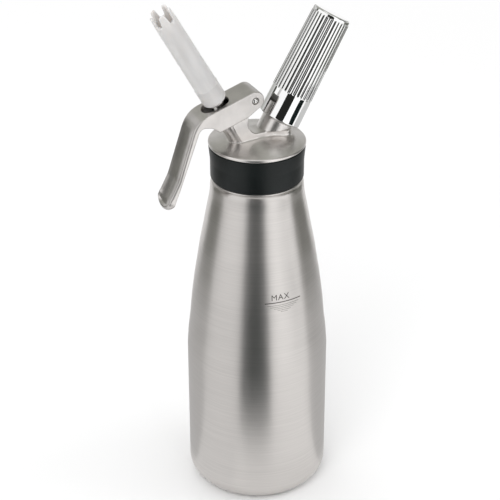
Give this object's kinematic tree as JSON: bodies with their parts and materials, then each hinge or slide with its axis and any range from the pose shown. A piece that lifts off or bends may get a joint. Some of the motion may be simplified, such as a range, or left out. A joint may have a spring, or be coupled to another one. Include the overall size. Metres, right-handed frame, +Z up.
{
  "type": "whipped cream dispenser",
  "caption": "Pressurised whipped cream dispenser: steel bottle, screw-on head with a press lever and spring valve, decorating tip and gas charger holder.",
  "frame": {"origin": "centre of the flat base of the bottle", "axes": "+Z up along the bottle's axis, +X towards the gas charger, -X towards the nozzle and the lever's handle"},
  "size_m": [0.1338, 0.095, 0.3545],
  "materials": {
    "bottle_steel": "fine brushing round the bottle",
    "red_silicone": "matte silicone",
    "head_steel": "satin casting",
    "black_silicone": "matte silicone",
    "lever_steel": "satin, brushed along",
    "pin_steel": "polished",
    "valve_steel": "turned",
    "black_rubber": "matte",
    "white_plastic": "matte",
    "spring_steel": "drawn wire",
    "tip_plastic": "translucent warm white",
    "insert_steel": "turned",
    "holder_chrome": "mirror chrome",
    "charger_steel": "bright zinc plate",
    "cap_steel": "bright",
    "plug_brass": "turned"
  },
  "bodies": {
    "bottle": {"bottle": "bottle_steel"},
    "gasket": {"head_gasket": "red_silicone"},
    "head": {"head": "head_steel", "grip_band": "black_silicone", "pivot_pin": "pin_steel", "valve_guide": "white_plastic", "valve_o_ring": "black_rubber", "valve_spring": "spring_steel", "piercing_pin": "pin_steel", "pin_plug": "plug_brass", "non_return_valve": "black_rubber", "charger_seal": "black_rubber"},
    "lever": {"lever": "lever_steel"},
    "valve": {"dispensing_valve": "valve_steel", "valve_seal": "black_rubber"},
    "tip": {"decorating_tip": "tip_plastic", "tip_thread_insert": "insert_steel"},
    "charger": {"charger": "charger_steel", "charger_cap": "cap_steel"},
    "charger_holder": {"charger_holder": "holder_chrome"}
  },
  "joints": [
    {"name": "gasket_lift", "type": "slide", "parent": "bottle", "child": "gasket", "axis": [0, 0, 1], "range_m": [0, 0.0121]},
    {"name": "head_turn", "type": "hinge", "parent": "gasket", "child": "head", "pos_m": [0, 0, 0.24], "axis": [0, 0, 1], "range_deg": [0, 1080]},
    {"name": "lever_press", "type": "hinge", "parent": "head", "child": "lever", "pos_m": [-0.0055, 0, 0.2861], "axis": [0, -1, 0], "range_deg": [0, 12], "stiffness_Nm_per_rad": 1.5, "springref_deg": -8.59},
    {"name": "valve_slide", "type": "slide", "parent": "head", "child": "valve", "axis": [0.4879, 0, -0.8729], "range_m": [0, 0.0042], "deforming": ["valve_spring"]},
    {"name": "tip_slide", "type": "slide", "parent": "valve", "child": "tip", "axis": [-0.4879, 0, 0.8729], "range_m": [0, 0.012]},
    {"name": "charger_slide", "type": "slide", "parent": "head", "child": "charger", "axis": [0.5, 0, 0.866], "range_m": [0, 0.0101]},
    {"name": "holder_turn", "type": "hinge", "parent": "charger", "child": "charger_holder", "pos_m": [0.0076, 0, 0.253], "axis": [0.5, 0, 0.866], "range_deg": [0, 1440]}
  ],
  "couplings": [
    {"joint": "gasket_lift", "follows": "head_turn", "m_per_rad": 0.00063662},
    {"joint": "valve_slide", "follows": "lever_press", "m_per_rad": 0.01982},
    {"joint": "charger_slide", "follows": "holder_turn", "m_per_rad": 0.00039789}
  ]
}
